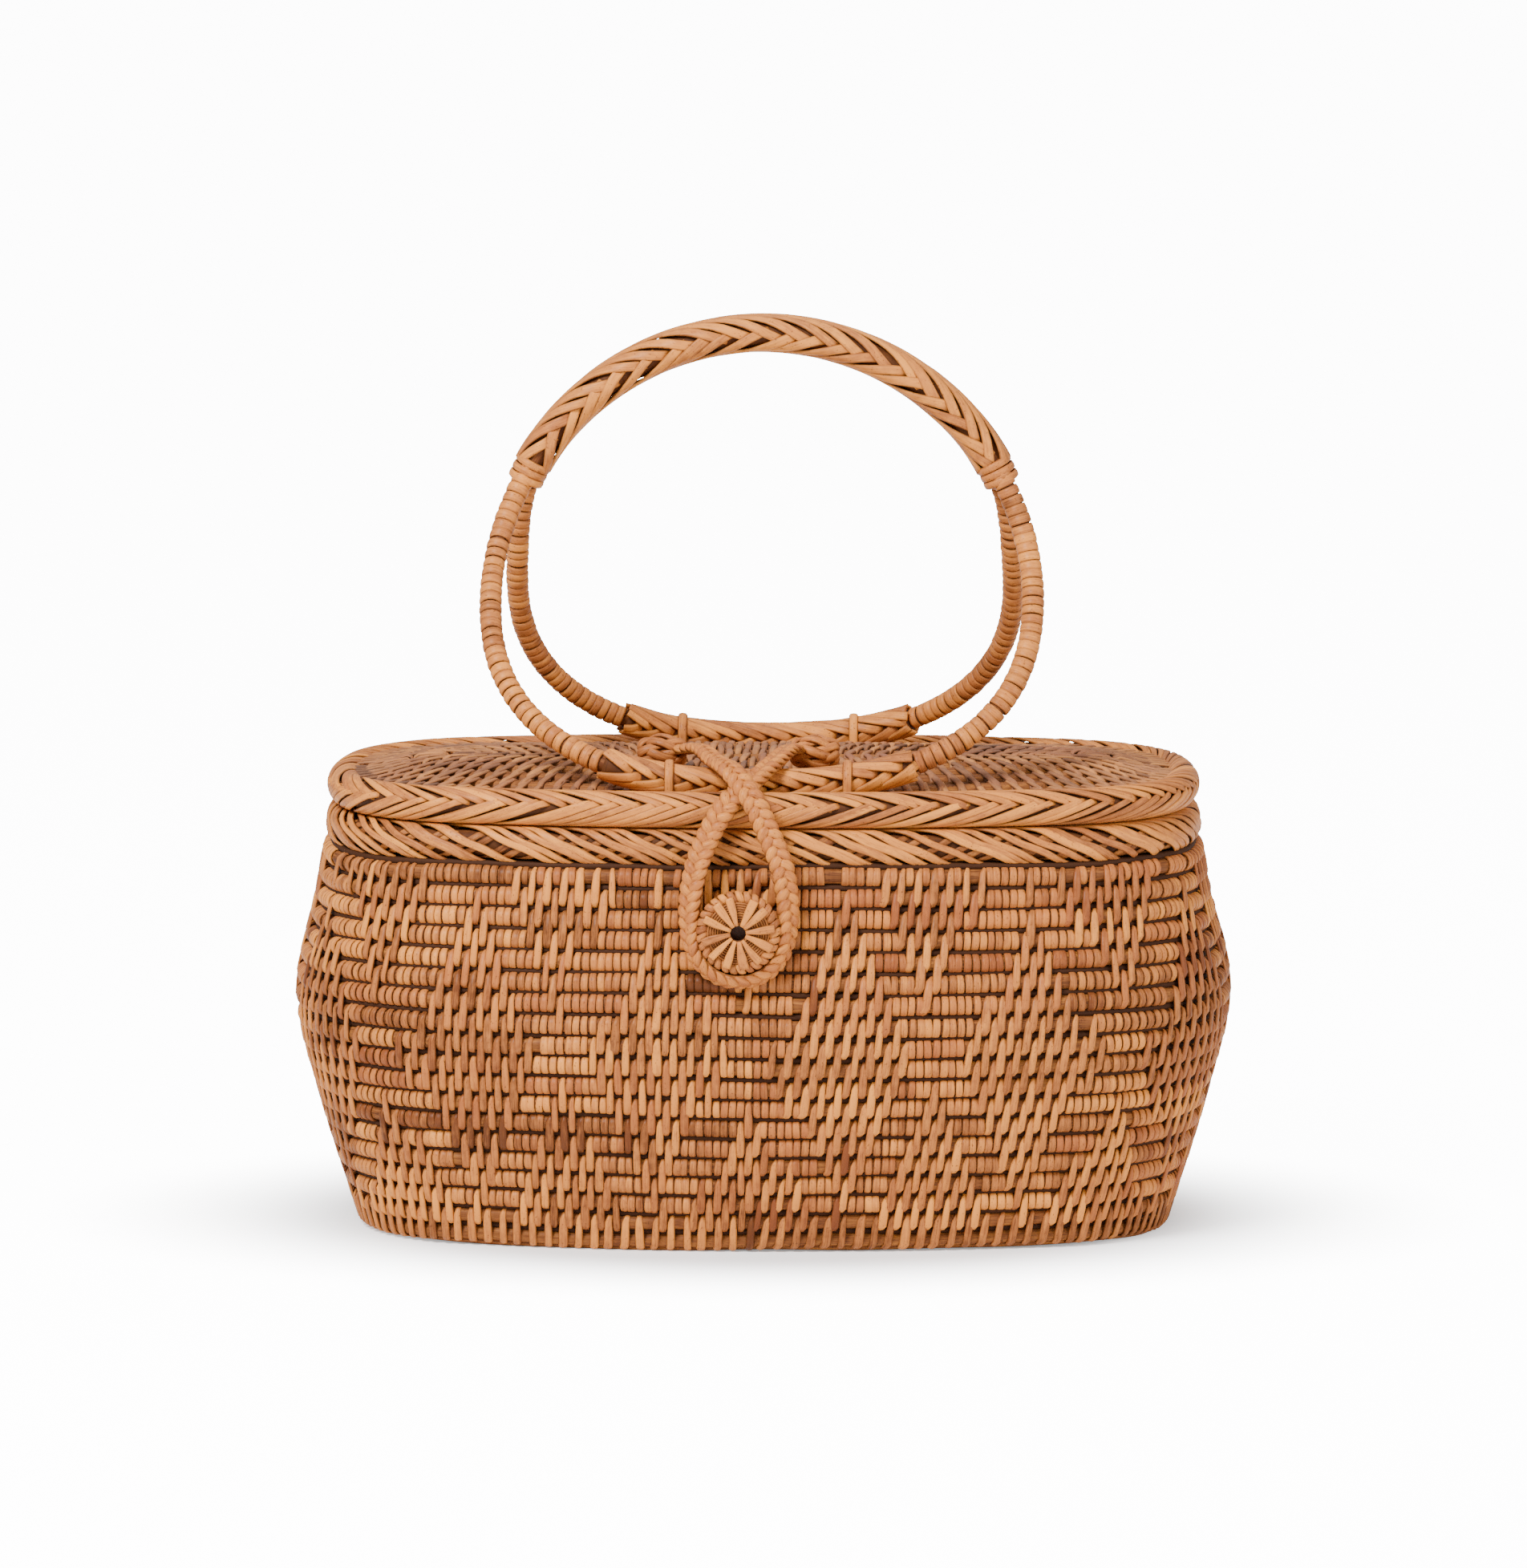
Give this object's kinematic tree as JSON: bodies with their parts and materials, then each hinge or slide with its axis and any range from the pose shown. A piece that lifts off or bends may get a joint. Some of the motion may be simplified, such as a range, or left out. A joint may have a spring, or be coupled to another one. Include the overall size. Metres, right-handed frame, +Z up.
{
  "type": "lidded wicker basket",
  "caption": "Oval lidded basket of coiled rattan with a hinged lid, twin hoops that meet in a plaited grip, and a strap loop that hooks over a button.",
  "frame": {"origin": "middle of the base, on the surface that the basket stands on", "axes": "+X along the oval's length, -Y towards the button and strap loop, +Z up"},
  "size_m": [0.2796, 0.1749, 0.2697],
  "materials": {
    "wall_weave": "varnished rattan strips over rods, satin to gloss",
    "rim_strips": "varnished rattan strips, gloss",
    "lid_weave": "varnished rattan strips over rods, satin",
    "border_braid": "plaited rattan strips, gloss",
    "dark_rod": "dark rattan rod, satin",
    "hoop_wrap": "bound rattan strips, gloss",
    "grip_plait": "plaited rattan strips, gloss",
    "strap_plait": "fine plaited rattan, satin",
    "button_weave": "fine rattan strips, satin"
  },
  "bodies": {
    "basket": {"base_panel": "wall_weave", "side_wall": "wall_weave", "top_border": "rim_strips", "mouth_hoop": "dark_rod", "button_disc": "button_weave", "button_star": "button_weave", "button_edge": "button_weave", "button_stem": "dark_rod", "hinge_lashing_left": "rim_strips", "hinge_lashing_right": "rim_strips"},
    "lid": {"lid_panel": "lid_weave", "lid_collar": "lid_weave", "lid_border": "border_braid", "front_hoop": "dark_rod", "rear_hoop": "dark_rod", "lid_hoop": "dark_rod", "front_hoop_wrap_left": "hoop_wrap", "front_hoop_wrap_right": "hoop_wrap", "rear_hoop_wrap_left": "hoop_wrap", "rear_hoop_wrap_right": "hoop_wrap", "grip_braid": "grip_plait", "grip_band_left": "grip_plait", "grip_band_right": "grip_plait", "front_foot_braid": "grip_plait", "rear_foot_braid": "grip_plait", "front_foot_ties": "grip_plait", "rear_foot_ties": "grip_plait", "strap_tail_left": "strap_plait", "strap_tail_right": "strap_plait", "knot_left": "strap_plait", "knot_right": "strap_plait"},
    "loop": {"closure_loop": "strap_plait"}
  },
  "joints": [
    {"name": "lid_open", "type": "hinge", "parent": "basket", "child": "lid", "pos_m": [0, 0.06965, 0.131], "axis": [-1, 0, 0], "range_deg": [0, 105]},
    {"name": "loop_swing", "type": "hinge", "parent": "lid", "child": "loop", "pos_m": [-0.005, -0.0786, 0.136], "axis": [-1, 0, 0], "range_deg": [0, 120]}
  ]
}
